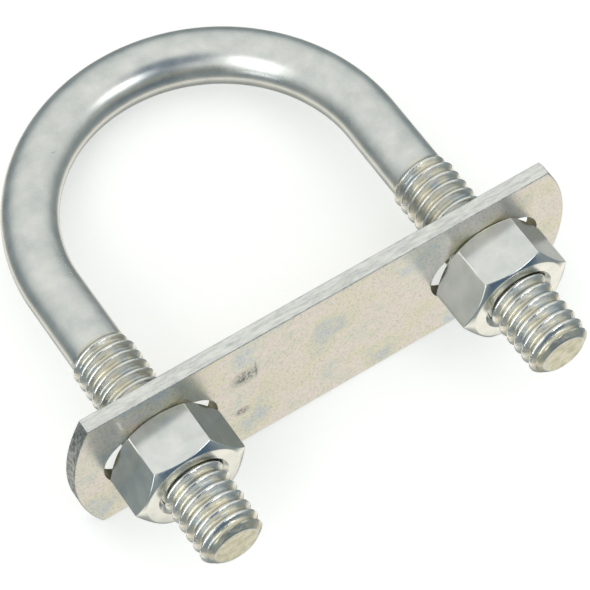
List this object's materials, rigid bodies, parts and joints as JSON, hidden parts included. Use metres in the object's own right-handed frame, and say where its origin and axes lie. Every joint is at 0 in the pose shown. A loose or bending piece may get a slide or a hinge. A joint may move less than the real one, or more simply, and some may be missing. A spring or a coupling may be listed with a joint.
{
  "type": "u-bolt",
  "caption": "U-bolt clamp: a bent rod with threaded legs, a slotted saddle plate and hex nuts that draw the plate up to the pipe.",
  "frame": {"origin": "centre of the bow's half circle, which is the axis of the clamped pipe", "axes": "+X across the legs, +Y along the legs towards the bow, +Z along the clamped pipe, normal to the plane of the U"},
  "size_m": [0.065, 0.0635, 0.02],
  "materials": {
    "rod": "satin",
    "plate": "satin",
    "nut": "satin"
  },
  "bodies": {
    "u_rod": {"u_rod": "rod"},
    "plate": {"plate": "plate"},
    "nut_left": {"nut_left": "nut"},
    "nut_right": {"nut_right": "nut"}
  },
  "joints": [
    {"name": "plate_slide", "type": "slide", "parent": "u_rod", "child": "plate", "axis": [0, 1, 0], "range_m": [-0.00776, 0.01199]},
    {"name": "nut_left_turn", "type": "hinge", "parent": "plate", "child": "nut_left", "pos_m": [-0.0215, -0.02996, 0], "axis": [0, 1, 0], "range_deg": [-1981.98, 3063.06]},
    {"name": "nut_right_turn", "type": "hinge", "parent": "plate", "child": "nut_right", "pos_m": [0.0215, -0.02996, 0], "axis": [0, 1, 0], "range_deg": [-1981.98, 3063.06]}
  ],
  "couplings": [
    {"joint": "nut_left_turn", "follows": "plate_slide", "rad_per_m": 4452.7},
    {"joint": "nut_right_turn", "follows": "plate_slide", "rad_per_m": 4452.7}
  ]
}
